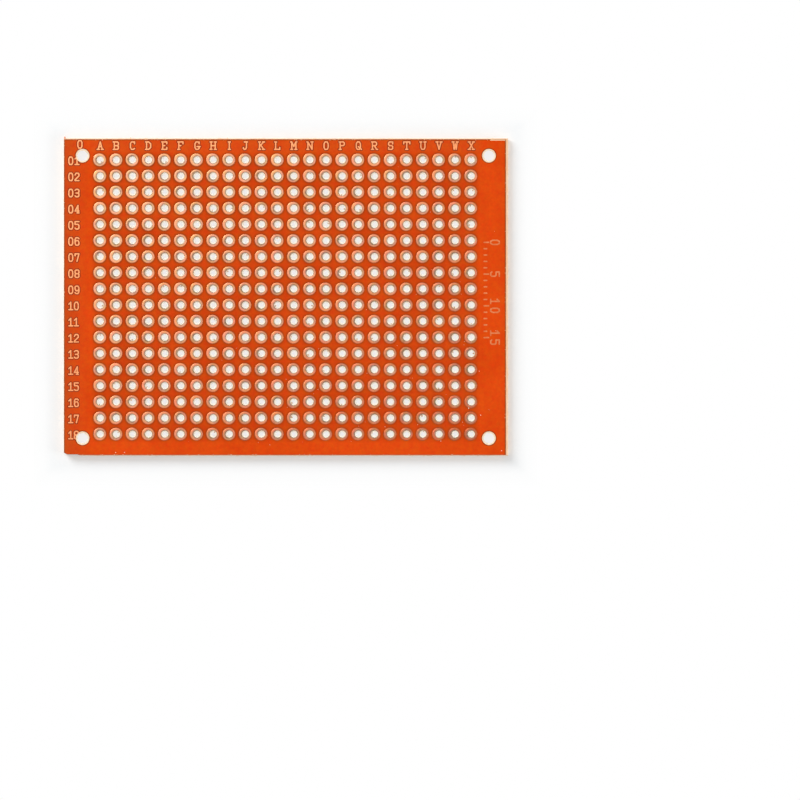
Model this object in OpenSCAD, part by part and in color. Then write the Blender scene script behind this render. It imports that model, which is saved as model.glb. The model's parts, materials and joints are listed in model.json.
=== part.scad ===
// Single-sided prototype board: a punched laminate sheet with a grid of ringed holes.
// It lies on its bare underside, with the origin under its middle, +X along the lettered
// columns and +Y towards the column letters.

/* [Board] */
// Length along the columns
board_l = 70; // [30:0.5:160]
// Width along the rows
board_w = 50; // [25:0.5:120]
// Thickness of the bare laminate
board_t = 1.2; // [0.8:0.1:2.4]

/* [Hole grid] */
// Distance between neighbouring holes
pitch = 2.54; // [2.3:0.01:3.2]
// Diameter of a component hole
hole_d = 1.1; // [0.8:0.05:1.3]
// Least distance from the upper and lower edges to a hole's centre
row_margin = 3.3; // [2.5:0.1:6]
// Least strip of board between a mounting hole and the nearest column of pads
mount_web = 0.5; // [0.3:0.1:4]

/* [Punched rims] */
// How far out from the hole the punch drew the surface down
rim_w = 0.2; // [0.1:0.01:0.25]
// How deep the drawn rim lies at the hole's edge
rim_drop = 0.1; // [0.04:0.01:0.2]

/* [Copper pads] */
// Outer diameter of a pad
pad_d = 2; // [1.8:0.05:2.1]
// Thickness of the copper foil
copper_t = 0.035; // [0.018:0.001:0.07]
// How far the etched pads lie to the left of the punched holes
pad_shift = 0.1; // [0:0.01:0.12]

/* [Solder mask] */
// Thickness of the printed mask
mask_t = 0.025; // [0.015:0.001:0.05]
// Bare ring between a pad, or a mounting hole, and the mask round it
mask_gap = 0.05; // [0.03:0.005:0.09]
// Bare strip between the mask and the edge of the laminate's flat face
mask_setback = 0.04; // [0.02:0.01:0.5]

/* [Mounting holes] */
// Diameter of a mounting hole
mount_d = 2; // [1.6:0.1:3.4]
// Distance from the left and right edges to the centre of a mounting hole
mount_inset_x = 3; // [2:0.05:6]
// Distance from the upper and lower edges to the centre of a mounting hole
mount_inset_y = 2.75; // [2:0.05:6]

/* [Scored edges] */
// Depth of the score lines, on the upper face and on the underside
score_depth = 0.35; // [0.1:0.05:0.35]
// Width of the score's slope along the right edge
score_right = 0.38; // [0.05:0.01:0.6]
// Width of the score's slope along the left edge
score_left = 0.08; // [0.02:0.01:0.6]
// Width of the score's slope along the upper edge
score_top = 0.18; // [0.02:0.01:0.6]
// Width of the score's slope along the lower edge
score_bottom = 0.12; // [0.02:0.01:0.6]
// Width of the score's slope on the underside, along every edge
score_under = 0.1; // [0.02:0.01:0.6]

/* [Chipped corner] */
// Length of the chip along the lower edge
chip_l = 0.55; // [0.1:0.05:1]
// Height of the chip along the left edge
chip_h = 0.5; // [0.1:0.05:1]
// Depth of the torn strip beside the chip
tear_h = 0.2; // [0.14:0.01:0.3]
// Length of the torn strip from the left edge
tear_l = 2.2; // [1.5:0.1:6]
// Length over which the torn strip runs out to the lower edge
tear_run = 0.5; // [0.1:0.1:2]

/* [Hidden] */
$fn = 48;

// The cuts run this far past the faces that they open
past = 1;

// The grid holds as many columns and rows as fit, set in the middle of the board
column_margin = mount_inset_x + mount_d / 2 + mount_web + pad_d / 2;
columns = floor((board_l - 2 * column_margin) / pitch) + 1;
rows = floor((board_w - 2 * row_margin) / pitch) + 1;
grid_l = (columns - 1) * pitch;
grid_w = (rows - 1) * pitch;

mount_x = board_l / 2 - mount_inset_x;
mount_y = board_w / 2 - mount_inset_y;

// Places its children at every hole of the grid
module at_grid() {
    for (c = [0 : columns - 1], r = [0 : rows - 1])
        translate([c * pitch - grid_l / 2, r * pitch - grid_w / 2]) children();
}

// Places its children at the four mounting holes
module at_mounts() {
    for (x = [-mount_x, mount_x], y = [-mount_y, mount_y])
        translate([x, y]) children();
}

// The board's outline, each side moved inwards by its own distance
module outline(left = 0, right = 0, top = 0, bottom = 0, torn = 0) {
    x0 = -board_l / 2;
    y0 = -board_w / 2;
    polygon([
        [x0 + left, y0 + chip_h + torn],
        [x0 + chip_l + torn, y0 + tear_h + torn],
        [x0 + tear_l + torn, y0 + tear_h + torn],
        [x0 + tear_l + tear_run + torn, y0 + bottom],
        [board_l / 2 - right, y0 + bottom],
        [board_l / 2 - right, board_w / 2 - top],
        [x0 + left, board_w / 2 - top]
    ]);
}

// A wedge that takes the score's slope off an edge of this length, which lies along X at y = 0
module score_cut(length, width) {
    slope = width / score_depth;
    translate([-length / 2 - past, 0, board_t])
        rotate([90, 0, 90])
            linear_extrude(length + 2 * past)
                polygon([
                    [-width - slope * past, past],
                    [past, past],
                    [past, -score_depth - past / slope],
                ]);
}

// The slopes that the score lines left round the upper face
module score_cuts(top, bottom, right, left) {
    translate([0, board_w / 2]) score_cut(board_l, top);
    translate([0, -board_w / 2]) rotate(180) score_cut(board_l, bottom);
    translate([board_l / 2, 0]) rotate(-90) score_cut(board_w, right);
    translate([-board_l / 2, 0]) rotate(90) score_cut(board_w, left);
}

// The laminate sheet: punched, scored and snapped off its panel
module laminate() {
    color("burlywood")
        difference() {
            linear_extrude(board_t)
                difference() {
                    outline();
                    at_grid() circle(d = hole_d);
                    at_mounts() circle(d = mount_d);
                }
            at_grid() rim_cut();
            score_cuts(score_top, score_bottom, score_right, score_left);
            translate([0, 0, board_t])
                mirror([0, 0, 1])
                    score_cuts(score_under, score_under, score_under, score_under);
        }
}

// The hollow that the punch drew round a hole
module rim_cut() {
    translate([0, 0, board_t - rim_drop])
        cylinder(d1 = hole_d, d2 = hole_d + 2 * rim_w, h = rim_drop);
}

// One ring of foil, drawn down into its hole
module pad() {
    reach = pad_d / 2 + pad_shift;
    hole_r = hole_d / 2;
    intersection() {
        rotate_extrude()
            polygon([
                [hole_r, -rim_drop],
                [hole_r + rim_w, 0],
                [reach, 0],
                [reach, copper_t],
                [hole_r + rim_w, copper_t],
                [hole_r, copper_t - rim_drop]
            ]);
        translate([-pad_shift, 0, -rim_drop]) cylinder(d = pad_d, h = rim_drop + copper_t);
    }
}

// The etched pads, one round each hole of the grid
module copper_pads() {
    color("lightsalmon")
        translate([0, 0, board_t]) at_grid() pad();
}

// The printed film, open round the pads and the mounting holes
module solder_mask() {
    color("orangered")
        translate([0, 0, board_t])
            linear_extrude(mask_t)
                difference() {
                    outline(
                        left = score_left + mask_setback,
                        right = score_right + mask_setback,
                        top = score_top + mask_setback,
                        bottom = score_bottom + mask_setback,
                        torn = mask_setback
                    );
                    translate([-pad_shift, 0]) at_grid() circle(d = pad_d + 2 * mask_gap);
                    at_mounts() circle(d = mount_d + 2 * mask_gap);
                }
}

laminate();
copper_pads();
solder_mask();
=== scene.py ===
import json
import math
import random

import bmesh
import bpy
from mathutils import Matrix, Vector

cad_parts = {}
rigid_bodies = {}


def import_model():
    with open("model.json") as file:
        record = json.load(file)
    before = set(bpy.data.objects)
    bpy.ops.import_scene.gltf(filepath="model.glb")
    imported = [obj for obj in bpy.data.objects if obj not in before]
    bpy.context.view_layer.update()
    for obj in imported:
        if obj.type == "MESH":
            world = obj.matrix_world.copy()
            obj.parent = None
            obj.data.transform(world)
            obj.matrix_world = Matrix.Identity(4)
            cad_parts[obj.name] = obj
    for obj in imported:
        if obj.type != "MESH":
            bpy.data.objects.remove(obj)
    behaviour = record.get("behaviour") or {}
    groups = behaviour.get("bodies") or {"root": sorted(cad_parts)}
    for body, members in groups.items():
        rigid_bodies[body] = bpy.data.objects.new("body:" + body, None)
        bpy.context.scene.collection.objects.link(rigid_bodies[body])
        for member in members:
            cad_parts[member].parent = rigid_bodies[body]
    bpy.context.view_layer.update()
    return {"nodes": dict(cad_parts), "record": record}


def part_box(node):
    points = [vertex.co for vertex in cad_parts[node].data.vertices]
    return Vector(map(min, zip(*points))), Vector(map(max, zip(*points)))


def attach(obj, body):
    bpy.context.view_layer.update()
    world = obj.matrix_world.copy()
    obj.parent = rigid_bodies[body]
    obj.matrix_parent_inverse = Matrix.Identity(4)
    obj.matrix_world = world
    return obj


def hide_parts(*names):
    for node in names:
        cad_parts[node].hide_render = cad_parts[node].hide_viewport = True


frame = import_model()
mm = 0.001


# The camera looks straight down, as over a copy stand. It is centred on the photograph's
# frame, not on the board, so the board lies to the upper left of the picture.
view_width = 126.0 * mm
camera_height = 0.62
board_in_view = Vector((-17.99, 16.23)) * mm

board_low, board_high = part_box("laminate")
board_top = board_high.z
camera_data = bpy.data.cameras.new("copy_stand_camera")
camera_data.sensor_width = 36
camera_data.lens = camera_data.sensor_width * camera_height / view_width
camera = bpy.data.objects.new("copy_stand_camera", camera_data)
camera.location = (-board_in_view.x, -board_in_view.y, board_top + camera_height)
bpy.context.scene.collection.objects.link(camera)
bpy.context.scene.camera = camera
bpy.context.scene.view_settings.view_transform = "Standard"


# The floor is a sheet of white paper. It shows white to the camera and keeps the board's shadow
# round its edges. Under the board it has a stronger glow of its own, a painted light that keeps
# the bottoms of the holes pale where the board shades them. It is clear from below and close
# under the board, so the bare underside can be seen and is lit.
def linear(colour):
    """A colour written as sRGB hex, as the linear RGBA that a socket takes"""
    parts = [int(colour[i:i + 2], 16) / 255 for i in (1, 3, 5)]
    return [c / 12.92 if c <= 0.04045 else ((c + 0.055) / 1.055) ** 2.4 for c in parts] + [1]


def add_node(tree, kind, inputs=None, stops=(), **settings):
    """A new node with its settings, with values or links on its sockets, and with a ramp's stops"""
    node = tree.nodes.new(kind)
    for name, value in settings.items():
        setattr(node, name, value)
    for socket, value in (inputs or {}).items():
        if isinstance(value, bpy.types.NodeSocket):
            tree.links.new(value, node.inputs[socket])
        else:
            node.inputs[socket].default_value = value
    for i, (position, colour) in enumerate(stops):
        held = node.color_ramp.elements
        stop = held[i] if i < 2 else held.new(position)
        stop.position = position
        stop.color = linear(colour)
    return node


def new_material(name):
    """An empty node material and its tree"""
    material = bpy.data.materials.new(name)
    material.use_nodes = True
    material.node_tree.nodes.clear()
    return material, material.node_tree


floor_size = 6.0
shadow_near = -2 * mm
shadow_far = 12 * mm
floor_gap = 0.02 * mm
underside_reach = 0.2 * mm

floor_mesh = bpy.data.meshes.new("paper_floor")
floor_build = bmesh.new()
bmesh.ops.create_grid(floor_build, x_segments=1, y_segments=1, size=floor_size / 2,
                      matrix=Matrix.Translation((0, 0, -floor_gap)))
floor_build.to_mesh(floor_mesh)
floor_build.free()
floor = bpy.data.objects.new("paper_floor", floor_mesh)
bpy.context.scene.collection.objects.link(floor)


def add_sight(tree):
    """Two sockets: 1 where a ray comes from the camera, a gloss or a glass, and the ray's length"""
    rays = add_node(tree, "ShaderNodeLightPath")
    seen = add_node(tree, "ShaderNodeMath", {0: rays.outputs["Is Camera Ray"],
                                             1: rays.outputs["Is Glossy Ray"]}, operation="MAXIMUM")
    seen = add_node(tree, "ShaderNodeMath", {0: seen.outputs[0], 1: rays.outputs["Is Transmission Ray"]},
                    operation="MAXIMUM")
    return seen.outputs[0], rays.outputs["Ray Length"]


# Uncoated paper: a flat, even white that takes a soft shadow
paper, tree = new_material("white_paper")
seen, ray_length = add_sight(tree)
place = add_node(tree, "ShaderNodeTexCoord")
reach = add_node(tree, "ShaderNodeVectorMath", {0: place.outputs["Object"]}, operation="ABSOLUTE")
reach = add_node(tree, "ShaderNodeVectorMath", {0: reach.outputs[0], 1: (board_high.x, board_high.y, 0)},
                 operation="SUBTRACT")
reach = add_node(tree, "ShaderNodeSeparateXYZ", {0: reach.outputs[0]})
reach = add_node(tree, "ShaderNodeMath", {0: reach.outputs["X"], 1: reach.outputs["Y"]},
                 operation="MAXIMUM")
reach = add_node(tree, "ShaderNodeMapRange", {"Value": reach.outputs[0], "From Min": shadow_near,
                                              "From Max": shadow_far})
# Painted light: the floor's own glow is strong under the board, where the holes look through, and weak just
# round it
own_light = add_node(tree, "ShaderNodeValToRGB", {0: reach.outputs[0]}, stops=(
    (0.10, "#E7E6E5"), (0.12, "#7A7A7A"), (0.18, "#707070"), (0.24, "#606060"), (0.36, "#E8E8E8"),
    (0.50, "#FFFFFF")))
share = add_node(tree, "ShaderNodeMath", {0: seen, 1: own_light.outputs[0]}, operation="MULTIPLY")
lit = add_node(tree, "ShaderNodeBsdfDiffuse", {"Color": linear("#FCFEFF")})
own = add_node(tree, "ShaderNodeEmission", {"Color": linear("#FFFFFF"), "Strength": 1.0})
sheet = add_node(tree, "ShaderNodeMixShader", {0: share.outputs[0], 1: lit.outputs[0], 2: own.outputs[0]})
side = add_node(tree, "ShaderNodeNewGeometry")
touching = add_node(tree, "ShaderNodeMath", {0: ray_length, 1: underside_reach}, operation="LESS_THAN")
cleared = add_node(tree, "ShaderNodeMath", {0: side.outputs["Backfacing"], 1: touching.outputs[0]},
                   operation="MAXIMUM")
clear = add_node(tree, "ShaderNodeBsdfTransparent")
sheet = add_node(tree, "ShaderNodeMixShader", {0: cleared.outputs[0], 1: sheet.outputs[0],
                                               2: clear.outputs[0]})
add_node(tree, "ShaderNodeOutputMaterial", {"Surface": sheet.outputs[0]})
floor_mesh.materials.append(paper)


# Soft studio light: an even white room, a lamp at the upper left that gives the short shadow,
# a wide softbox overhead that the bare copper mirrors, and a small one low on the right that
# lights the snapped edge there.
room_light = 0.36
sky = bpy.data.worlds.new("studio")
sky.use_nodes = True
bpy.context.scene.world = sky
tree = sky.node_tree
tree.nodes.clear()
seen, _ = add_sight(tree)
strength = add_node(tree, "ShaderNodeMapRange", {"Value": seen, "To Min": room_light, "To Max": 1.0})
air = add_node(tree, "ShaderNodeBackground", {"Color": linear("#FFFFFF"), "Strength": strength.outputs[0]})
add_node(tree, "ShaderNodeOutputWorld", {"Surface": air.outputs[0]})


def softbox(name, size, place, power):
    """A square lamp that faces the board"""
    lamp = bpy.data.lights.new(name, "AREA")
    lamp.size = size
    lamp.energy = power
    lamp_object = bpy.data.objects.new(name, lamp)
    lamp_object.location = place
    lamp_object.rotation_euler = (-Vector(place)).to_track_quat("-Z", "Y").to_euler()
    bpy.context.scene.collection.objects.link(lamp_object)


softbox("upper_left_lamp", 0.42, (-0.50, 0.48, 0.43), 4.7)
softbox("overhead_softbox", 1.00, (-0.12, 0.10, 0.95), 2.0)
softbox("right_edge_lamp", 0.22, (0.50, -0.10, 0.11), 1.15)


# The board itself is a sheet of paper bonded with phenolic resin. It is punched warm, so the
# cut faces are pale and fibrous. Its flat faces are resin-rich and tan underneath. On top, the
# thin gaps that the solder mask leaves are painted dark as shade, and the cut faces are painted
# brown just under the top as shade.
columns = 24
rows = 18
pad_shift = 0.10 * mm
hole_radius = 0.55 * mm
hole_stray = 0.05 * mm
shade_band_bottom = 0.14 * mm
shade_band_top = 0.03 * mm

# Past this radius a face is at the board's edge. It is in millimetres, as the radius socket is
beyond_holes = 0.8

# The plies are half as thick as this, and are drawn coarse enough to show
ply = 0.15 * mm
ply_run = 12 * ply
fibre = 0.35 * mm
blotch = 4.0 * mm

pads_low, pads_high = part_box("copper_pads")
pitch = (pads_high.x - pads_low.x - (pads_high.y - pads_low.y)) / (columns - rows)
pad_radius = (pads_high.y - pads_low.y - (rows - 1) * pitch) / 2
first_x = pads_low.x + pad_radius + pad_shift
first_y = pads_low.y + pad_radius


def add_grid_radius(tree, shift=0.0, wander=0.0):
    """Three sockets: millimetres from the nearest point of the hole grid, a random value of that
    point's own, and the place on the object. The grid is shifted along X, and each of its points
    wanders by itself"""
    place = add_node(tree, "ShaderNodeTexCoord")
    here = add_node(tree, "ShaderNodeSeparateXYZ", {0: place.outputs["Object"]})
    offsets = []
    cells = []
    for axis, first, count in (("X", first_x + shift, columns), ("Y", first_y, rows)):
        steps = add_node(tree, "ShaderNodeMath", {0: here.outputs[axis], 1: first}, operation="SUBTRACT")
        steps = add_node(tree, "ShaderNodeMath", {0: steps.outputs[0], 1: pitch}, operation="DIVIDE")
        near = add_node(tree, "ShaderNodeClamp", {0: steps.outputs[0], 1: 0.0, 2: count - 1.0})
        cell = add_node(tree, "ShaderNodeMath", {0: near.outputs[0]}, operation="ROUND")
        off = add_node(tree, "ShaderNodeMath", {0: steps.outputs[0], 1: cell.outputs[0]},
                       operation="SUBTRACT")
        offsets.append(off.outputs[0])
        cells.append(cell.outputs[0])
    cell = add_node(tree, "ShaderNodeCombineXYZ", {0: cells[0], 1: cells[1]})
    lot = add_node(tree, "ShaderNodeTexWhiteNoise", {"Vector": cell.outputs[0]}, noise_dimensions="3D")
    most = wander / pitch
    stray = add_node(tree, "ShaderNodeVectorMath", {0: lot.outputs["Color"], 1: (2 * most, 2 * most, 0),
                                                    2: (-most, -most, 0)}, operation="MULTIPLY_ADD")
    off = add_node(tree, "ShaderNodeCombineXYZ", {0: offsets[0], 1: offsets[1]})
    off = add_node(tree, "ShaderNodeVectorMath", {0: off.outputs[0], 1: stray.outputs[0]}, operation="ADD")
    length = add_node(tree, "ShaderNodeVectorMath", {0: off.outputs[0]}, operation="LENGTH")
    radius = add_node(tree, "ShaderNodeMath", {0: length.outputs["Value"], 1: pitch / mm},
                      operation="MULTIPLY")
    return radius.outputs[0], lot.outputs["Value"], place.outputs["Object"]


laminate = frame["nodes"]["laminate"]

# Phenolic paper laminate, punched and snapped: matt pale plies where it is cut, coarser browns
# where it is torn, and a satin tan underneath
bonded_paper, tree = new_material("resin_bonded_paper_punched")
radius, _, here = add_grid_radius(tree, wander=hole_stray)
place = add_node(tree, "ShaderNodeTexCoord")
facing = add_node(tree, "ShaderNodeSeparateXYZ", {0: place.outputs["Normal"]})
plies = add_node(tree, "ShaderNodeMapping", {"Vector": here, "Scale": (1 / ply_run, 1 / ply_run, 1 / ply)})
ply_noise = add_node(tree, "ShaderNodeTexNoise", {"Vector": plies.outputs[0], "Scale": 1.0, "Detail": 5.0})
fibres = add_node(tree, "ShaderNodeTexNoise", {"Vector": here, "Scale": 1 / fibre, "Detail": 6.0,
                                               "Roughness": 0.65})
blotches = add_node(tree, "ShaderNodeTexNoise", {"Vector": here, "Scale": 1 / blotch, "Detail": 3.0})
cut_tone = add_node(tree, "ShaderNodeValToRGB", {0: ply_noise.outputs["Fac"]},
                    stops=((0.30, "#FCC290"), (0.55, "#FFDAB4")))
height = add_node(tree, "ShaderNodeSeparateXYZ", {0: here})
# Painted shade: the cut faces, round the edges and in the holes, turn a darker brown just under the top
shaded_top_band = add_node(tree, "ShaderNodeMapRange", {"Value": height.outputs["Z"],
                                                "From Min": board_top - shade_band_bottom,
                                                "From Max": board_top - shade_band_top})
cut_tone = add_node(tree, "ShaderNodeMix", {0: shaded_top_band.outputs[0], 6: cut_tone.outputs[0],
                                            7: linear("#C47440")}, data_type="RGBA")
torn_tone = add_node(tree, "ShaderNodeValToRGB", {0: ply_noise.outputs["Fac"]},
                     stops=((0.34, "#B47C4E"), (0.48, "#DDA878"), (0.62, "#F6D6B2")))
upright = add_node(tree, "ShaderNodeMath", {0: facing.outputs["Z"]}, operation="ABSOLUTE")
upright = add_node(tree, "ShaderNodeMapRange", {"Value": upright.outputs[0], "From Min": 0.15,
                                                "From Max": 0.05})
outside = add_node(tree, "ShaderNodeMath", {0: radius, 1: beyond_holes}, operation="GREATER_THAN")
snapped = add_node(tree, "ShaderNodeMath", {0: upright.outputs[0], 1: outside.outputs[0]},
                   operation="MULTIPLY")
cut_tone = add_node(tree, "ShaderNodeMix", {0: snapped.outputs[0], 6: cut_tone.outputs[2],
                                            7: torn_tone.outputs[0]}, data_type="RGBA")
under_tone = add_node(tree, "ShaderNodeValToRGB", {0: fibres.outputs["Fac"]},
                      stops=((0.35, "#B98450"), (0.68, "#D6A56C")))
under_tone = add_node(tree, "ShaderNodeMix", {0: blotches.outputs["Fac"], 6: under_tone.outputs[0],
                                              7: linear("#C89A63")}, data_type="RGBA")
whitened = add_node(tree, "ShaderNodeMapRange", {"Value": radius, "From Min": 0.58, "From Max": 0.95,
                                                 "To Min": 0.55, "To Max": 0.0})
under_tone = add_node(tree, "ShaderNodeMix", {0: whitened.outputs[0], 6: under_tone.outputs[2],
                                              7: linear("#F0CFA0")}, data_type="RGBA")
under_share = add_node(tree, "ShaderNodeMapRange", {"Value": facing.outputs["Z"], "From Min": -0.90,
                                                    "From Max": -0.98})
upper_share = add_node(tree, "ShaderNodeMapRange", {"Value": facing.outputs["Z"], "From Min": 0.90,
                                                    "From Max": 0.98})
tone = add_node(tree, "ShaderNodeMix", {0: under_share.outputs[0], 6: cut_tone.outputs[2],
                                        7: under_tone.outputs[2]}, data_type="RGBA")
# Painted shade: faces that look up show only in the thin gaps round the mask, and are painted dark brown
tone = add_node(tree, "ShaderNodeMix", {0: upper_share.outputs[0], 6: tone.outputs[2],
                                        7: linear("#9C4A1A")}, data_type="RGBA")
relief = add_node(tree, "ShaderNodeMix", {0: under_share.outputs[0], 2: ply_noise.outputs["Fac"],
                                          3: fibres.outputs["Fac"]}, data_type="FLOAT")
bump = add_node(tree, "ShaderNodeBump", {"Height": relief.outputs[0], "Strength": 0.5,
                                         "Distance": 0.05 * mm})
gloss = add_node(tree, "ShaderNodeMapRange", {"Value": under_share.outputs[0], "To Min": 0.85,
                                              "To Max": 0.45})
surface = add_node(tree, "ShaderNodeBsdfPrincipled", {"Base Color": tone.outputs[2], "IOR": 1.55,
                                                      "Roughness": gloss.outputs[0],
                                                      "Normal": bump.outputs[0]})
add_node(tree, "ShaderNodeOutputMaterial", {"Surface": surface.outputs[0]})
laminate.data.materials.clear()
laminate.data.materials.append(bonded_paper)


# Every punched hole keeps a ragged lining of torn paper fibres at its upper edge, whitened by
# the tear. In some of the component holes a tan flap of the paper hangs further in.
rim_drop = 0.10 * mm
fibre_depth = 0.20 * mm
fibre_tuft = 0.15 * mm
raggedness = 0.25
lining_reach = 0.19 * mm
lining_flare = 0.02 * mm
lining_steps = 12
mount_lining_reach = 0.17 * mm
mount_lining_flare = 0.07 * mm
mount_lining_rise = 0.03 * mm
mount_lining_steps = 32

mounting = frame["record"]["mounts"][0]["dims"]
mount_x = mounting["spacing_x_mm"] / 2 * mm
mount_y = mounting["spacing_y_mm"] / 2 * mm
mount_radius = mounting["hole_r_mm"] * mm

# Paper torn white by the punch: matt and cream, so that each hole has a soft pale inner rim
whitened_fibres, tree = new_material("whitened_torn_paper_fibres")
radius, _, here = add_grid_radius(tree)
fluff = add_node(tree, "ShaderNodeTexNoise", {"Vector": here, "Scale": 1 / fibre_tuft, "Detail": 4.0})
tone = add_node(tree, "ShaderNodeValToRGB", {0: fluff.outputs["Fac"]},
                stops=((0.30, "#FFE8CC"), (0.60, "#FFFAEC")))
at_mount = add_node(tree, "ShaderNodeMapRange", {"Value": radius, "From Min": 1.0, "From Max": 1.2})
tone = add_node(tree, "ShaderNodeMix", {0: at_mount.outputs[0], 6: tone.outputs[0], 7: linear("#FFE6C6")},
                data_type="RGBA")
bump = add_node(tree, "ShaderNodeBump", {"Height": fluff.outputs["Fac"], "Strength": 0.6,
                                         "Distance": 0.04 * mm})
surface = add_node(tree, "ShaderNodeBsdfPrincipled", {"Base Color": tone.outputs[2], "Roughness": 0.9,
                                                      "Specular IOR Level": 0.3, "Normal": bump.outputs[0]})
add_node(tree, "ShaderNodeOutputMaterial", {"Surface": surface.outputs[0]})


def spun_ring(section, steps):
    """A closed ring of this cross-section round the Z axis, as a bmesh"""
    ring = bmesh.new()
    corners = [ring.verts.new((x, 0, z)) for x, z in section]
    sides = [ring.edges.new((corners[i - 1], corners[i])) for i in range(len(corners))]
    bmesh.ops.spin(ring, geom=corners + sides, axis=(0, 0, 1), cent=(0, 0, 0), angle=math.tau,
                   steps=steps, use_merge=True)
    bmesh.ops.remove_doubles(ring, verts=ring.verts, dist=0.001 * mm)
    bmesh.ops.recalc_face_normals(ring, faces=ring.faces)
    return ring


def add_shape(build, shape):
    """Moves a small bmesh into the piece that it belongs to"""
    step = bpy.data.meshes.new("step")
    shape.to_mesh(step)
    shape.free()
    build.from_mesh(step)
    bpy.data.meshes.remove(step)


def finish_piece(name, build, material):
    """A finished mesh as a piece that rides on the board"""
    mesh = bpy.data.meshes.new(name)
    build.to_mesh(mesh)
    build.free()
    mesh.materials.append(material)
    piece = bpy.data.objects.new(name, mesh)
    bpy.context.scene.collection.objects.link(piece)
    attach(piece, "root")
    return piece


def add_hole_fibres(build, centre, radius, reach, flare, top, steps):
    """The torn lining of one hole, which reaches this far inwards and flares over its edge"""
    lining = spun_ring([(radius + flare, top), (radius - reach, top - 0.25 * fibre_depth),
                        (radius + 0.01 * mm, top - fibre_depth)], steps)
    for v in lining.verts:
        if v.co.xy.length < radius:
            v.co.xy *= 1 + random.gauss(0, raggedness) * reach / radius
    bmesh.ops.translate(lining, verts=lining.verts, vec=centre)
    add_shape(build, lining)


random.seed(5)
fibre_build = bmesh.new()
for column in range(columns):
    for row in range(rows):
        centre = Vector((first_x + column * pitch, first_y + row * pitch, 0))
        add_hole_fibres(fibre_build, centre, hole_radius, lining_reach, lining_flare,
                        board_top - 0.5 * rim_drop, lining_steps)
for x in (-mount_x, mount_x):
    for y in (-mount_y, mount_y):
        add_hole_fibres(fibre_build, Vector((x, y, 0)), mount_radius, mount_lining_reach,
                        mount_lining_flare, board_top + mount_lining_rise, mount_lining_steps)
finish_piece("torn_hole_fibres", fibre_build, whitened_fibres)

flap_share = 0.22
flap_rooted = 0.7
flap_depth = 0.07 * mm
flap_half = 0.035 * mm
shred = 0.12 * mm

# Torn paper that kept its resin: a mottled tan, so that a flap is a brown fleck in its hole
hanging_paper, tree = new_material("torn_resin_paper_flaps")
place = add_node(tree, "ShaderNodeTexCoord")
fluff = add_node(tree, "ShaderNodeTexNoise", {"Vector": place.outputs["Object"], "Scale": 1 / shred,
                                              "Detail": 4.0})
tone = add_node(tree, "ShaderNodeValToRGB", {0: fluff.outputs["Fac"]},
                stops=((0.32, "#A07250"), (0.50, "#D0A884"), (0.62, "#F8E2C8")))
surface = add_node(tree, "ShaderNodeBsdfPrincipled", {"Base Color": tone.outputs[0], "Roughness": 0.9,
                                                      "Specular IOR Level": 0.3})
add_node(tree, "ShaderNodeOutputMaterial", {"Surface": surface.outputs[0]})


def add_grain(build, centre, halves, turn=0.0):
    """A ragged grain of torn laminate with these half sizes, turned about the Z axis"""
    grain = bmesh.new()
    bmesh.ops.create_icosphere(grain, subdivisions=1, radius=1.0)
    for v in grain.verts:
        v.co *= random.uniform(0.7, 1.0)
    bmesh.ops.scale(grain, verts=grain.verts, vec=halves)
    bmesh.ops.rotate(grain, verts=grain.verts, matrix=Matrix.Rotation(turn, 3, "Z"))
    bmesh.ops.translate(grain, verts=grain.verts, vec=centre)
    add_shape(build, grain)


random.seed(8)
flap_build = bmesh.new()
for column in range(columns):
    for row in range(rows):
        if random.random() < flap_share:
            turn = random.uniform(0, math.tau)
            reach = random.uniform(0.14, 0.26) * mm
            width = random.uniform(0.09, 0.20) * mm
            from_axis = hole_radius - flap_rooted * reach
            centre = (first_x + column * pitch + from_axis * math.cos(turn),
                      first_y + row * pitch + from_axis * math.sin(turn), board_top - flap_depth)
            add_grain(flap_build, centre, (reach, width, flap_half), turn)
finish_piece("hanging_paper_flaps", flap_build, hanging_paper)


# The board was snapped off its panel along the score lines, so the middle of its edges is
# torn. Small flakes of the laminate stand out there, with two tufts along the upper edge.
break_low = 0.35 * mm
break_high = 0.85 * mm
flakes_per_side = 40
past_chip = 3 * mm
past_corner = 1 * mm
tufts_x = (-24.5 * mm, -9.2 * mm)
tuft_z = 0.6 * mm
tuft_halves = Vector((0.16, 0.16, 0.20)) * mm

random.seed(11)
snapped_build = bmesh.new()
for i in range(flakes_per_side):
    for side in (-1, 1):
        long_half = random.uniform(0.15, 0.5) * mm
        out_half = random.uniform(0.03, 0.09) * mm
        high_half = random.uniform(0.08, 0.2) * mm
        z = random.uniform(break_low + high_half, break_high - high_half)
        x = random.uniform(board_low.x + past_chip, board_high.x - past_corner)
        y = board_high.y if side > 0 else board_low.y
        add_grain(snapped_build, (x, y, z), (long_half, out_half, high_half))
        x = board_high.x if side > 0 else board_low.x
        y = random.uniform(board_low.y + past_corner, board_high.y - past_corner)
        add_grain(snapped_build, (x, y, z), (out_half, long_half, high_half))
for x in tufts_x:
    add_grain(snapped_build, (x, board_high.y, tuft_z), tuft_halves)
finish_piece("snapped_edge_flakes", snapped_build, bonded_paper)


# The pads are rings of rolled copper foil, etched to shape. The punch went through them from
# this side and drew each inner edge down into its hole. Clear flux covers them. They are pinker
# at the upper left and duller towards the lower right, a painted fall-off of the light.
rim_width = 0.20 * mm
foil = 0.035 * mm
etch_slope = 0.02 * mm
etch_spread = 0.015 * mm
etch_drift = 0.010 * mm
etched_edge = foil - 0.016 * mm
worn_crown = foil - 0.003 * mm
ring_shift = -0.08 * mm
ring_steps = 18
sharp_angle = math.radians(40)

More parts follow.
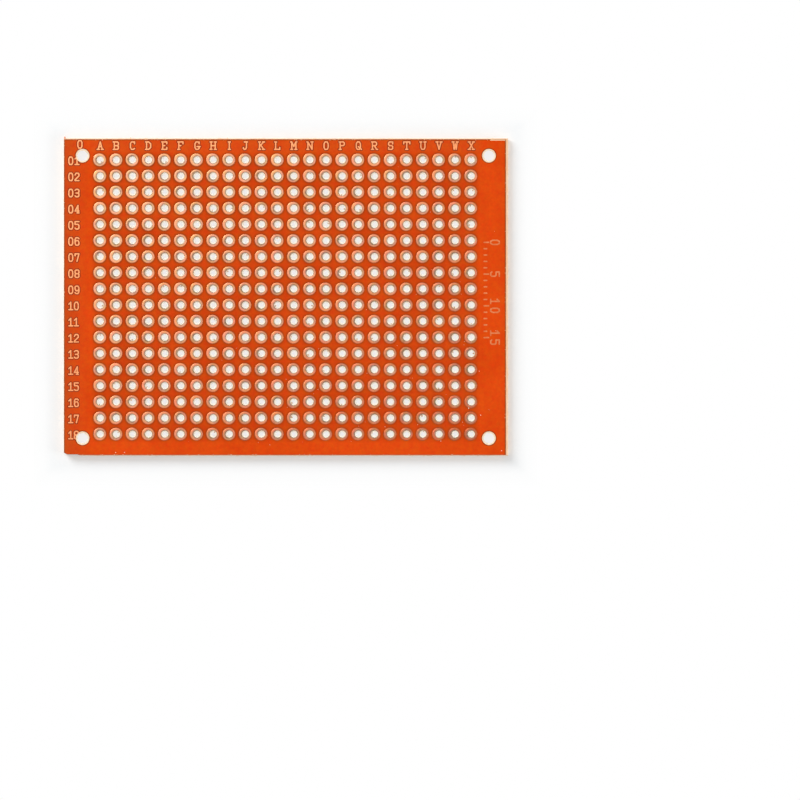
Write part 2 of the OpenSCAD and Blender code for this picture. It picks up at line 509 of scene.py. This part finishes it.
random.seed(2)
pads_build = bmesh.new()
rim_top = hole_radius + rim_width
ring = spun_ring([
    (hole_radius, -rim_drop),
    (hole_radius + 0.30 * rim_width, foil - 0.35 * rim_drop),
    (rim_top, foil),
    (rim_top + 0.70 * rim_width, worn_crown),
    (pad_radius + etch_spread - etch_slope, etched_edge),
    (pad_radius + etch_spread, 0),
    (rim_top, 0),
], ring_steps)
for column in range(columns):
    for row in range(rows):
        one = ring.copy()
        turn = random.uniform(0, math.tau)
        bmesh.ops.rotate(one, verts=one.verts, matrix=Matrix.Rotation(turn, 3, "Z"))
        outer = [v for v in one.verts if v.co.xy.length > rim_top + etch_slope]
        drift = Vector((random.gauss(ring_shift, etch_drift), random.gauss(0, etch_drift), 0))
        bmesh.ops.translate(one, verts=outer, vec=drift)
        centre = Vector((first_x + column * pitch, first_y + row * pitch, board_top))
        bmesh.ops.translate(one, verts=one.verts, vec=centre)
        add_shape(pads_build, one)
ring.free()


def add_tarnish(tree, here, stops):
    """A tone that changes from the board's upper left corner to its lower right, as a socket. On
    the copper it stands for the light falling off towards the lower right
    """
    size = board_high - board_low
    across = add_node(tree, "ShaderNodeVectorMath", {0: here, 1: (0.5 / size.x, -0.5 / size.y, 0)},
                      operation="DOT_PRODUCT")
    place = add_node(tree, "ShaderNodeMath", {0: across.outputs["Value"], 1: 0.5}, operation="ADD")
    return add_node(tree, "ShaderNodeValToRGB", {0: place.outputs[0]}, stops=stops).outputs[0]


stain = 0.35 * mm
flux_pool = 1.1 * mm
ring_stray = 0.10 * mm

# The grit that rolling leaves on foil is finer than this, and is drawn coarse enough to show
grit = 0.06 * mm

# Etched copper under clear flux: a soft pink shine with dull stains, greyer on the drawn rim as
# painted shade, and brighter at the etched edge
bare_copper, tree = new_material("etched_copper_under_clear_flux")
radius, lot, here = add_grid_radius(tree, shift=ring_shift / 2, wander=ring_stray)
stains = add_node(tree, "ShaderNodeTexNoise", {"Vector": here, "Scale": 1 / stain, "Detail": 4.0})
grains = add_node(tree, "ShaderNodeTexNoise", {"Vector": here, "Scale": 1 / grit, "Detail": 3.0})
# Painted shade: the drawn rim's tone is greyer and darker than the face's
shaded_rim_tone = add_tarnish(tree, here, ((0.08, "#AC8C74"), (0.92, "#A07C66")))
# Painted fall-off of the light: all three tones are paler at the upper left and darker at the lower right
face_tone = add_tarnish(tree, here, ((0.08, "#CF9A76"), (0.50, "#C18163"), (0.92, "#A55E43")))
edge_tone = add_tarnish(tree, here, ((0.08, "#E29870"), (0.50, "#D4805C"), (0.92, "#B65F3C")))
worn = add_node(tree, "ShaderNodeMath", {0: lot, 1: 0.2, 2: stains.outputs["Fac"]},
                operation="MULTIPLY_ADD")
rim_worn = add_node(tree, "ShaderNodeMapRange", {"Value": worn.outputs[0], "From Min": 0.38,
                                                 "From Max": 0.82, "To Min": 1.22, "To Max": 0.80})
shaded_rim_tone = add_node(tree, "ShaderNodeVectorMath", {0: shaded_rim_tone, "Scale": rim_worn.outputs[0]},
                    operation="SCALE").outputs[0]
on_face = add_node(tree, "ShaderNodeMapRange", {"Value": radius, "From Min": 0.65, "From Max": 0.78},
                   interpolation_type="SMOOTHSTEP")
at_edge = add_node(tree, "ShaderNodeMapRange", {"Value": radius, "From Min": 0.84, "From Max": 0.98},
                   interpolation_type="SMOOTHSTEP")
tone = add_node(tree, "ShaderNodeMix", {0: on_face.outputs[0], 6: shaded_rim_tone, 7: face_tone},
                data_type="RGBA")
tone = add_node(tree, "ShaderNodeMix", {0: at_edge.outputs[0], 6: tone.outputs[2], 7: edge_tone},
                data_type="RGBA")
face_worn = add_node(tree, "ShaderNodeMapRange", {"Value": worn.outputs[0], "From Min": 0.36,
                                                  "From Max": 0.84, "To Min": 1.12, "To Max": 0.88})
tone = add_node(tree, "ShaderNodeVectorMath", {0: tone.outputs[2], "Scale": face_worn.outputs[0]},
                operation="SCALE")
pools = add_node(tree, "ShaderNodeTexNoise", {"Vector": here, "Scale": 1 / flux_pool, "Detail": 2.0})
flux_tint = add_node(tree, "ShaderNodeValToRGB", {0: pools.outputs["Fac"]},
                     stops=((0.36, "#FAFFE8"), (0.50, "#FFFDFB"), (0.64, "#FFF4FF")))
tone = add_node(tree, "ShaderNodeVectorMath", {0: tone.outputs[0], 1: flux_tint.outputs[0]},
                operation="MULTIPLY")
gloss = add_node(tree, "ShaderNodeMapRange", {"Value": stains.outputs["Fac"], "From Min": 0.3,
                                              "From Max": 0.7, "To Min": 0.32, "To Max": 0.50})
gloss = add_node(tree, "ShaderNodeMix", {0: on_face.outputs[0], 2: 0.70, 3: gloss.outputs[0]},
                 data_type="FLOAT")
bump = add_node(tree, "ShaderNodeBump", {"Height": grains.outputs["Fac"], "Strength": 0.25,
                                         "Distance": 0.01 * mm})
surface = add_node(tree, "ShaderNodeBsdfPrincipled", {"Base Color": tone.outputs[0], "Metallic": 1.0,
                                                      "Roughness": gloss.outputs[0],
                                                      "Normal": bump.outputs[0]})
add_node(tree, "ShaderNodeOutputMaterial", {"Surface": surface.outputs[0]})

copper_rings = finish_piece("copper_rings", pads_build, bare_copper)
copper_rings.data.shade_smooth()
copper_rings.data.set_sharp_from_angle(angle=sharp_angle)
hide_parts("copper_pads")


# The solder mask is an orange resist, screened on and cured to a low gloss. It is painted darker
# round each opening and along the scored edges as shade, is duller in the hole grid and between
# the letters, and has flaked where the board snapped.
peel = 0.45 * mm
pigment = 0.8 * mm
squeegee = 1.6 * mm
squeegee_stretch = 0.12
patch = 9.0 * mm
chip = 0.30 * mm
mask_gap = 0.05 * mm
mount_halo_width = 0.3 * mm
edge_line_width = 0.17 * mm
left_margin = 4 * mm
grid_fade = (0.6 * mm, 1.4 * mm)
letter_fade_x = (1.0 * mm, 1.8 * mm)
letter_fade_y = (2.4 * mm, 2.0 * mm)
flake_depth = 0.12 * mm
chipped_from_x = 32.2 * mm
chipped_depth = 0.14 * mm

mask = frame["nodes"]["solder_mask"]
mask_low, mask_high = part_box("solder_mask")

# Screened resist: an even orange of low gloss, faintly mottled and drawn along the squeegee's
# run, with a thin dark line of painted shade where it ends
resist, tree = new_material("screened_orange_resist")
radius, _, here = add_grid_radius(tree, shift=-pad_shift)
patches = add_node(tree, "ShaderNodeTexNoise", {"Vector": here, "Scale": 1 / patch, "Detail": 3.0})
mottle = add_node(tree, "ShaderNodeTexNoise", {"Vector": here, "Scale": 1 / peel, "Detail": 3.0})
chips = add_node(tree, "ShaderNodeTexNoise", {"Vector": here, "Scale": 1 / chip, "Detail": 3.0})
tone = add_node(tree, "ShaderNodeValToRGB", {0: patches.outputs["Fac"]},
                stops=((0.38, "#E14700"), (0.62, "#E84C04")))
at = add_node(tree, "ShaderNodeSeparateXYZ", {0: here})
leftness = add_node(tree, "ShaderNodeMapRange", {
    "Value": at.outputs["X"], "From Min": board_low.x, "From Max": board_low.x + left_margin,
    "To Min": 1.0, "To Max": 0.0})
tone = add_node(tree, "ShaderNodeMix", {0: leftness.outputs[0], 6: tone.outputs[0], 7: linear("#CD4A10")},
                data_type="RGBA")

# In millimetres again, as the radius socket is
opening = (pad_radius + mask_gap) / mm
halo_width = 0.5
# Painted shade: a darker, browner ring round each pad's opening, stronger in the hole grid and weaker
# towards the lower right
halo = add_node(tree, "ShaderNodeValToRGB", {0: add_node(tree, "ShaderNodeMapRange", {
    "Value": radius, "From Min": opening, "From Max": opening + halo_width}).outputs[0]},
    stops=((0.0, "#CAEFFF"), (0.30, "#DAF9FF"), (0.54, "#F3FDFF"), (1.0, "#FFFFFF")))
folded = add_node(tree, "ShaderNodeVectorMath", {0: here}, operation="ABSOLUTE")
beyond = add_node(tree, "ShaderNodeVectorMath", {0: folded.outputs[0], 1: (-first_x, -first_y, 0)},
                  operation="SUBTRACT")
beyond = add_node(tree, "ShaderNodeSeparateXYZ", {0: beyond.outputs[0]})
over_columns = add_node(tree, "ShaderNodeMapRange", {
    "Value": beyond.outputs["X"], "From Min": letter_fade_x[0], "From Max": letter_fade_x[1],
    "To Min": 0.38, "To Max": 0.0})
lettered = add_node(tree, "ShaderNodeMapRange", {
    "Value": at.outputs["Y"], "From Min": board_high.y - letter_fade_y[0],
    "From Max": board_high.y - letter_fade_y[1]})
lettered = add_node(tree, "ShaderNodeMath", {0: lettered.outputs[0], 1: over_columns.outputs[0]},
                    operation="MULTIPLY")
tone = add_node(tree, "ShaderNodeMix", {0: lettered.outputs[0], 6: tone.outputs[2], 7: linear("#CD4E14")},
                data_type="RGBA")
beyond = add_node(tree, "ShaderNodeMath", {0: beyond.outputs["X"], 1: beyond.outputs["Y"]},
                  operation="MAXIMUM")
in_grid = add_node(tree, "ShaderNodeMapRange", {"Value": beyond.outputs[0], "From Min": grid_fade[0],
                                                "From Max": grid_fade[1], "To Min": 1.0, "To Max": 0.0})
halo_share = add_node(tree, "ShaderNodeMath", {0: in_grid.outputs[0], 1: 0.45, 2: 0.55},
                      operation="MULTIPLY_ADD")
halo_share = add_node(tree, "ShaderNodeMath", {
    0: halo_share.outputs[0], 1: add_tarnish(tree, here, ((0.20, "#FFFFFF"), (0.80, "#CACACA")))},
    operation="MULTIPLY")
halo = add_node(tree, "ShaderNodeMix", {0: halo_share.outputs[0], 6: linear("#FFFFFF"), 7: halo.outputs[0]},
                data_type="RGBA")
folded = add_node(tree, "ShaderNodeVectorMath", {0: folded.outputs[0], 1: (mount_x, mount_y, 0)},
                  operation="SUBTRACT")
folded = add_node(tree, "ShaderNodeVectorMath", {0: folded.outputs[0], 1: (1, 1, 0)}, operation="MULTIPLY")
from_mount = add_node(tree, "ShaderNodeVectorMath", {0: folded.outputs[0]}, operation="LENGTH")
mount_edge = mount_radius + mask_gap
# Painted shade: a darker, browner ring round each mounting hole
mount_halo = add_node(tree, "ShaderNodeMapRange", {
    "Value": from_mount.outputs["Value"], "From Min": mount_edge, "From Max": mount_edge + mount_halo_width,
    "To Min": 0.42, "To Max": 1.0}, interpolation_type="SMOOTHSTEP")
from_top = add_node(tree, "ShaderNodeMath", {0: mask_high.y, 1: at.outputs["Y"]}, operation="SUBTRACT")
from_bottom = add_node(tree, "ShaderNodeMath", {0: at.outputs["Y"], 1: mask_low.y}, operation="SUBTRACT")
from_right = add_node(tree, "ShaderNodeMath", {0: mask_high.x, 1: at.outputs["X"]}, operation="SUBTRACT")
from_left = add_node(tree, "ShaderNodeMath", {0: at.outputs["X"], 1: mask_low.x}, operation="SUBTRACT")
from_side = add_node(tree, "ShaderNodeMath", {0: from_right.outputs[0], 1: from_left.outputs[0]},
                     operation="MINIMUM")
from_end = add_node(tree, "ShaderNodeMath", {0: from_top.outputs[0], 1: from_side.outputs[0]},
                    operation="MINIMUM")
from_edge = add_node(tree, "ShaderNodeMath", {0: from_end.outputs[0], 1: from_bottom.outputs[0]},
                     operation="MINIMUM")
# Painted shade: a thin dark line along the top and the sides of the mask
edge_line = add_node(tree, "ShaderNodeMapRange", {
    "Value": from_end.outputs[0], "From Max": edge_line_width, "To Min": 0.42, "To Max": 1.0},
    interpolation_type="SMOOTHSTEP")
redness = add_node(tree, "ShaderNodeMath", {0: mount_halo.outputs[0], 1: edge_line.outputs[0]},
                   operation="MULTIPLY")
greenness = add_node(tree, "ShaderNodeMath", {0: redness.outputs[0], 1: 0.3}, operation="POWER")
yellowed = add_node(tree, "ShaderNodeTexNoise", {"Vector": here, "Scale": 1 / pigment, "Detail": 2.0})
yellowed = add_node(tree, "ShaderNodeMapRange", {"Value": yellowed.outputs["Fac"], "From Min": 0.3,
                                                 "From Max": 0.7, "To Min": 0.85, "To Max": 1.15})
greenness = add_node(tree, "ShaderNodeMath", {0: greenness.outputs[0], 1: yellowed.outputs[0]},
                     operation="MULTIPLY")
# The mask's colour factor: painted shade at its openings and edges, with the resist's own pigment, mottle
# and squeegee marks
shade_and_mottle = add_node(tree, "ShaderNodeCombineXYZ", {0: redness.outputs[0], 1: greenness.outputs[0], 2: 1.0})
drawn = add_node(tree, "ShaderNodeMapping", {"Vector": here,
                                             "Scale": (1 / squeegee, squeegee_stretch / squeegee, 1.0)})
drawn = add_node(tree, "ShaderNodeTexNoise", {"Vector": drawn.outputs[0], "Scale": 1.0, "Detail": 3.0})
drawn = add_node(tree, "ShaderNodeMapRange", {"Value": drawn.outputs["Fac"], "From Min": 0.3,
                                              "From Max": 0.7, "To Min": 0.97, "To Max": 1.03})
grid_tone = add_node(tree, "ShaderNodeMapRange", {"Value": in_grid.outputs[0], "To Min": 1.0,
                                                  "To Max": 0.87})
mottled = add_node(tree, "ShaderNodeMapRange", {"Value": mottle.outputs["Fac"], "From Min": 0.3,
                                                "From Max": 0.7, "To Min": 0.955, "To Max": 1.045})
mottled = add_node(tree, "ShaderNodeMath", {0: mottled.outputs[0], 1: grid_tone.outputs[0]},
                   operation="MULTIPLY")
mottled = add_node(tree, "ShaderNodeMath", {0: mottled.outputs[0], 1: drawn.outputs[0]},
                   operation="MULTIPLY")
shade_and_mottle = add_node(tree, "ShaderNodeVectorMath", {0: shade_and_mottle.outputs[0], "Scale": mottled.outputs[0]},
                 operation="SCALE")
shade_and_mottle = add_node(tree, "ShaderNodeVectorMath", {0: shade_and_mottle.outputs[0], 1: halo.outputs[2]},
                 operation="MULTIPLY")
tone = add_node(tree, "ShaderNodeVectorMath", {0: tone.outputs[2], 1: shade_and_mottle.outputs[0]},
                operation="MULTIPLY")
flake_reach = add_node(tree, "ShaderNodeMapRange", {"Value": chips.outputs["Fac"], "From Min": 0.60,
                                                    "From Max": 0.78, "To Max": flake_depth})
flaked = add_node(tree, "ShaderNodeMath", {0: from_edge.outputs[0], 1: flake_reach.outputs[0]},
                  operation="LESS_THAN")
corner_side = add_node(tree, "ShaderNodeMath", {0: at.outputs["X"], 1: chipped_from_x},
                       operation="GREATER_THAN")
corner_strip = add_node(tree, "ShaderNodeMath", {0: from_top.outputs[0], 1: chipped_depth},
                        operation="LESS_THAN")
corner = add_node(tree, "ShaderNodeMath", {0: corner_side.outputs[0], 1: corner_strip.outputs[0]},
                  operation="MULTIPLY")
flaked = add_node(tree, "ShaderNodeMath", {0: flaked.outputs[0], 1: corner.outputs[0]},
                  operation="MAXIMUM")
tone = add_node(tree, "ShaderNodeMix", {0: flaked.outputs[0], 6: tone.outputs[0], 7: linear("#FBDCB4")},
                data_type="RGBA")
gloss = add_node(tree, "ShaderNodeMapRange", {"Value": mottle.outputs["Fac"], "From Min": 0.3,
                                              "From Max": 0.7, "To Min": 0.34, "To Max": 0.46})
gloss = add_node(tree, "ShaderNodeMix", {0: flaked.outputs[0], 2: gloss.outputs[0], 3: 0.85},
                 data_type="FLOAT")
bump = add_node(tree, "ShaderNodeBump", {"Height": mottle.outputs["Fac"], "Strength": 0.2,
                                         "Distance": 0.02 * mm})
surface = add_node(tree, "ShaderNodeBsdfPrincipled", {"Base Color": tone.outputs[2], "IOR": 1.5,
                                                      "Specular IOR Level": 0.07,
                                                      "Roughness": gloss.outputs[0],
                                                      "Normal": bump.outputs[0]})
add_node(tree, "ShaderNodeOutputMaterial", {"Surface": surface.outputs[0]})
mask.data.materials.clear()
mask.data.materials.append(resist)


# The index characters are etched in the same foil as the pads and left bare of mask. A thin
# dark outline of painted shade stands round them at the mask's edge. They are slab letters in
# plain alphabetical order.

# The strokes of each character, as lines of points. A point is its column and row on a grid of
# 6 by 8.
glyphs = {
    "A": "10 38 50, 00 20, 40 60, 23 43", "B": "10 18, 08 48 57 55 44 14, 44 53 51 40 00",
    "C": "57 48 28 16 12 20 40 51, 58 56", "D": "10 18, 08 38 56 52 30 00",
    "E": "10 18, 08 58 56, 00 50 52, 14 34", "F": "10 18, 08 58 56, 14 34, 00 20",
    "G": "57 48 28 16 12 20 40 51 53, 33 63, 58 56",
    "H": "10 18, 50 58, 14 54, 00 20, 08 28, 40 60, 48 68",
    "I": "30 38, 20 40, 28 48", "J": "48 42 30 20 11 12, 28 58",
    "K": "10 18, 13 58, 25 50, 00 20, 08 28, 40 60, 48 68", "L": "10 18, 08 28, 00 50 52",
    "M": "10 18 33 58 50, 00 20, 40 60, 08 18, 58 68", "N": "10 18 50 58, 00 20, 08 18, 48 68",
    "O": "20 40 52 56 48 28 16 12 20", "P": "10 18, 08 48 57 55 44 14, 00 20",
    "Q": "20 40 52 56 48 28 16 12 20, 33 60", "R": "10 18, 08 48 57 55 44 14, 34 50 60, 00 20",
    "S": "57 48 28 17 15 24 44 53 51 40 20 11, 58 56, 10 12", "T": "30 38, 06 08 68 66, 20 40",
    "U": "18 12 20 40 52 58, 08 28, 48 68", "V": "18 30 58, 08 28, 48 68",
    "W": "18 20 36 40 58, 08 28, 48 68", "X": "10 58, 18 50, 00 20, 40 60, 08 28, 48 68",
    "0": "20 40 52 56 48 28 16 12 20", "1": "16 38 30, 10 50", "2": "16 28 48 57 55 11 10 50",
    "3": "17 28 48 57 55 44 24, 44 53 51 40 20 11", "4": "40 48 12 52, 30 50",
    "5": "58 18 15 45 54 51 40 20 11", "6": "57 48 28 16 12 20 40 51 53 45 25 13",
    "7": "16 18 58 30", "8": "24 15 17 28 48 57 55 44 24 13 11 20 40 51 53 44",
    "9": "11 20 40 52 56 48 28 17 15 23 43 55",
}
glyph_grid = Vector((6, 8))
stroke_sides = 12


def stroke_shape(start, end, width, low, high):
    """One straight stroke with round ends, as a closed flat mesh"""
    build = bmesh.new()
    half_step = Matrix.Rotation(math.pi / stroke_sides, 4, "Z")
    cap = bmesh.ops.create_circle(build, cap_ends=True, segments=stroke_sides, radius=width / 2,
                                  matrix=half_step)["verts"]
    along = end - start
    front = [v for v in cap if v.co.x > 0]
    bmesh.ops.translate(build, verts=front, vec=(along.length, 0, 0))
    bmesh.ops.rotate(build, verts=cap, matrix=Matrix.Rotation(math.atan2(along.y, along.x), 3, "Z"))
    bmesh.ops.translate(build, verts=cap, vec=(start.x, start.y, low))
    raised = bmesh.ops.extrude_face_region(build, geom=[cap[0].link_faces[0]])["geom"]
    bmesh.ops.translate(build, verts=[v for v in raised if isinstance(v, bmesh.types.BMVert)],
                        vec=(0, 0, high - low))
    bmesh.ops.recalc_face_normals(build, faces=build.faces)
    mesh = bpy.data.meshes.new("stroke")
    build.to_mesh(mesh)
    build.free()
    return mesh


def combined(first, others, operation):
    """The first mesh joined with the others, or cut by them, as one closed mesh"""
    group = bpy.data.collections.new("others")
    for mesh in others:
        group.objects.link(bpy.data.objects.new("other", mesh))
    base = bpy.data.objects.new("base", first)
    bpy.context.scene.collection.objects.link(base)
    cut = base.modifiers.new("cut", "BOOLEAN")
    cut.operation = operation
    cut.solver = "MANIFOLD"
    cut.operand_type = "COLLECTION"
    cut.collection = group
    shape = bpy.data.meshes.new_from_object(base.evaluated_get(bpy.context.evaluated_depsgraph_get()))
    for used in [base, *group.objects]:
        bpy.data.objects.remove(used)
    bpy.data.collections.remove(group)
    return shape


def add_label(build, label, centre, size, step, width, low, high):
    """A label of one or more characters, its strokes joined into one flat shape"""
    strokes = []
    for i, character in enumerate(label):
        middle = centre + Vector(((i - (len(label) - 1) / 2) * step, 0))
        for line in glyphs[character].split(","):
            points = [Vector((int(p[0]), int(p[1]))) - glyph_grid / 2 for p in line.split()]
            points = [middle + Vector((p.x / glyph_grid.x * size.x, p.y / glyph_grid.y * size.y))
                      for p in points]
            strokes += [stroke_shape(a, b, width, low, high) for a, b in zip(points, points[1:])]
    joined = combined(strokes[0], strokes[1:], "UNION")
    build.from_mesh(joined)
    bpy.data.meshes.remove(joined)


letter_size = Vector((0.97, 1.17)) * mm
digit_size = Vector((0.91, 1.17)) * mm
digit_step = 0.98 * mm
teen_step = 0.88 * mm
letter_y = 23.83 * mm
extra_letter = Vector((-32.42, 24.03)) * mm
number_x = -33.37 * mm
number_drop = 0.15 * mm
stroke_width = 0.21 * mm
outline_width = 0.15 * mm
outline_rise = 0.004 * mm
plug_sides = 48
plug_depth = 2 * mm
film_top = mask_high.z

labels = []
for column in range(columns):
    letter = chr(ord("A") + column)
    labels += [(letter, Vector((first_x + column * pitch, letter_y)), letter_size, 0)]
labels += [("O", extra_letter, letter_size, 0)]
for row in range(rows):
    number = rows - row
    step = digit_step if number < 10 else teen_step
    middle = Vector((number_x - (digit_step - step) / 2, first_y + row * pitch - number_drop))
    labels += [(f"{number:02d}", middle, digit_size, step)]


def index_layer(width, low, high):
    """All the index characters with strokes of this width, cut by the mounting holes"""
    layer = bmesh.new()
    for label, centre, size, step in labels:
        add_label(layer, label, centre, size, step, width, low, high)
    mesh = bpy.data.meshes.new("layer")
    layer.to_mesh(mesh)
    layer.free()
    plugs = bmesh.new()
    for x in (-mount_x, mount_x):
        for y in (-mount_y, mount_y):
            bmesh.ops.create_cone(plugs, cap_ends=True, segments=plug_sides, radius1=mount_edge,
                                  radius2=mount_edge, depth=plug_depth,
                                  matrix=Matrix.Translation((x, y, board_top)))
    plug_mesh = bpy.data.meshes.new("plugs")
    plugs.to_mesh(plug_mesh)
    plugs.free()
    cut = bmesh.new()
    cut.from_mesh(combined(mesh, [plug_mesh], "DIFFERENCE"))
    return cut


# The same etched copper in thin strokes, with less flux: a paler peach with dull spots, and
# darker towards the lower right as a painted fall-off of the light
index_copper, tree = new_material("etched_copper_index")
place = add_node(tree, "ShaderNodeTexCoord")
here = place.outputs["Object"]
stains = add_node(tree, "ShaderNodeTexNoise", {"Vector": here, "Scale": 1 / stain, "Detail": 4.0})
tone = add_tarnish(tree, here, ((0.08, "#E29765"), (0.92, "#CC7C51")))
worn_tone = add_node(tree, "ShaderNodeMapRange", {"Value": stains.outputs["Fac"], "From Min": 0.3,
                                                  "From Max": 0.7, "To Min": 1.08, "To Max": 0.86})
tone = add_node(tree, "ShaderNodeVectorMath", {0: tone, "Scale": worn_tone.outputs[0]},
                operation="SCALE")
gloss = add_node(tree, "ShaderNodeMapRange", {"Value": stains.outputs["Fac"], "From Min": 0.3,
                                              "From Max": 0.7, "To Min": 0.30, "To Max": 0.50})
surface = add_node(tree, "ShaderNodeBsdfPrincipled", {"Base Color": tone.outputs[0], "Metallic": 1.0,
                                                      "Roughness": gloss.outputs[0]})
add_node(tree, "ShaderNodeOutputMaterial", {"Surface": surface.outputs[0]})
finish_piece("index_characters", index_layer(stroke_width, board_top, board_top + foil),
             index_copper)

# Painted shade at the mask's edge: a darker, browner orange that outlines each character
painted_shade_outline, tree = new_material("painted_shade_round_the_index")
place = add_node(tree, "ShaderNodeTexCoord")
mottle = add_node(tree, "ShaderNodeTexNoise", {"Vector": place.outputs["Object"], "Scale": 1 / peel,
                                               "Detail": 3.0})
tone = add_node(tree, "ShaderNodeValToRGB", {0: mottle.outputs["Fac"]},
                stops=((0.35, "#8C300A"), (0.65, "#A43A0E")))
surface = add_node(tree, "ShaderNodeBsdfPrincipled", {"Base Color": tone.outputs[0], "IOR": 1.5,
                                                      "Specular IOR Level": 0.12, "Roughness": 0.4})
add_node(tree, "ShaderNodeOutputMaterial", {"Surface": surface.outputs[0]})
finish_piece("index_shade_outline", index_layer(stroke_width + 2 * outline_width, board_top + outline_rise,
                                             film_top + outline_rise), painted_shade_outline)


# A plain millimetre scale stands in the right margin. It is etched in the foil and covered by
# the mask, so only a paler, slightly raised line shows. A torn nub of the panel's covered border
# stays at the upper left corner.
scale_zero = Vector((31.25, 8.6)) * mm
scale_length = 15
short_tick = 0.40 * mm
long_tick = 0.70 * mm
long_every = 5
tick_width = 0.24 * mm
scale_digit = Vector((1.00, 1.35)) * mm
scale_step = 1.40 * mm
scale_digit_x = 32.95 * mm
covered_rise = 0.012 * mm
nub_inset = 0.17 * mm
nub_overhang = 0.05 * mm
nub_z = 0.75 * mm
nub_halves = Vector((0.17, 0.42, 0.30)) * mm

scale_build = bmesh.new()
for i in range(scale_length + 1):
    start = scale_zero - Vector((0, i * mm))
    reach = long_tick if i % long_every == 0 else short_tick
    tick = stroke_shape(start, start + Vector((reach, 0)), tick_width, board_top, film_top + covered_rise)
    scale_build.from_mesh(tick)
    bpy.data.meshes.remove(tick)
for i in range(0, scale_length + 1, long_every):
    number = bmesh.new()
    add_label(number, str(i), Vector((0, 0)), scale_digit, scale_step, tick_width, board_top,
              film_top + covered_rise)
    bmesh.ops.rotate(number, verts=number.verts, matrix=Matrix.Rotation(-math.pi / 2, 3, "Z"))
    bmesh.ops.translate(number, verts=number.verts, vec=(scale_digit_x, scale_zero.y - i * mm, 0))
    add_shape(scale_build, number)

# Resist over etched foil: a paler orange, because the copper shines through
covered_copper, tree = new_material("resist_over_etched_copper")
place = add_node(tree, "ShaderNodeTexCoord")
mottle = add_node(tree, "ShaderNodeTexNoise", {"Vector": place.outputs["Object"], "Scale": 1 / peel,
                                               "Detail": 3.0})
tone = add_node(tree, "ShaderNodeValToRGB", {0: mottle.outputs["Fac"]},
                stops=((0.35, "#DE7440"), (0.65, "#EE8A54")))
surface = add_node(tree, "ShaderNodeBsdfPrincipled", {"Base Color": tone.outputs[0], "IOR": 1.5,
                                                      "Specular IOR Level": 0.15, "Roughness": 0.38})
add_node(tree, "ShaderNodeOutputMaterial", {"Surface": surface.outputs[0]})
finish_piece("covered_scale", scale_build, covered_copper)

nub_build = bmesh.new()
add_grain(nub_build, (board_low.x + nub_inset, board_high.y + nub_overhang, nub_z), nub_halves)
finish_piece("torn_corner_nub", nub_build, covered_copper)


# Punching dust: small pale grains of laminate stick to the mask. Most lie near the lower edge
# and in the lower right part of the board. A few large ones have a place of their own.
large_grains = ((-26.8, -24.5), (-25.4, -24.5), (34.0, -24.2), (24.4, -22.7), (28.8, -17.5),
                (30.7, -18.6))
large_grain = 0.11 * mm
loose_grains = 45
off_pads = 0.25 * mm
off_mounts = 0.20 * mm

random.seed(23)
dust_build = bmesh.new()
grains_at = [Vector(p) * mm for p in large_grains]
while len(grains_at) < loose_grains + len(large_grains):
    x = random.triangular(mask_low.x, mask_high.x, mask_high.x)
    y = random.triangular(mask_low.y, mask_high.y, mask_low.y)
    from_column = abs((x - first_x + pitch / 2) % pitch - pitch / 2)
    from_row = abs((y - first_y + pitch / 2) % pitch - pitch / 2)
    clear_of_pads = math.hypot(from_column, from_row) > pad_radius + off_pads
    clear_of_mounts = math.hypot(abs(x) - mount_x, abs(y) - mount_y) > mount_edge + off_mounts
    if clear_of_pads and clear_of_mounts:
        grains_at.append(Vector((x, y)))
for i, spot in enumerate(grains_at):
    size = large_grain if i < len(large_grains) else random.uniform(0.03, 0.07) * mm
    add_grain(dust_build, (spot.x, spot.y, film_top), (size, size * random.uniform(0.6, 1.0), 0.2 * size))
finish_piece("punching_dust", dust_build, whitened_fibres)
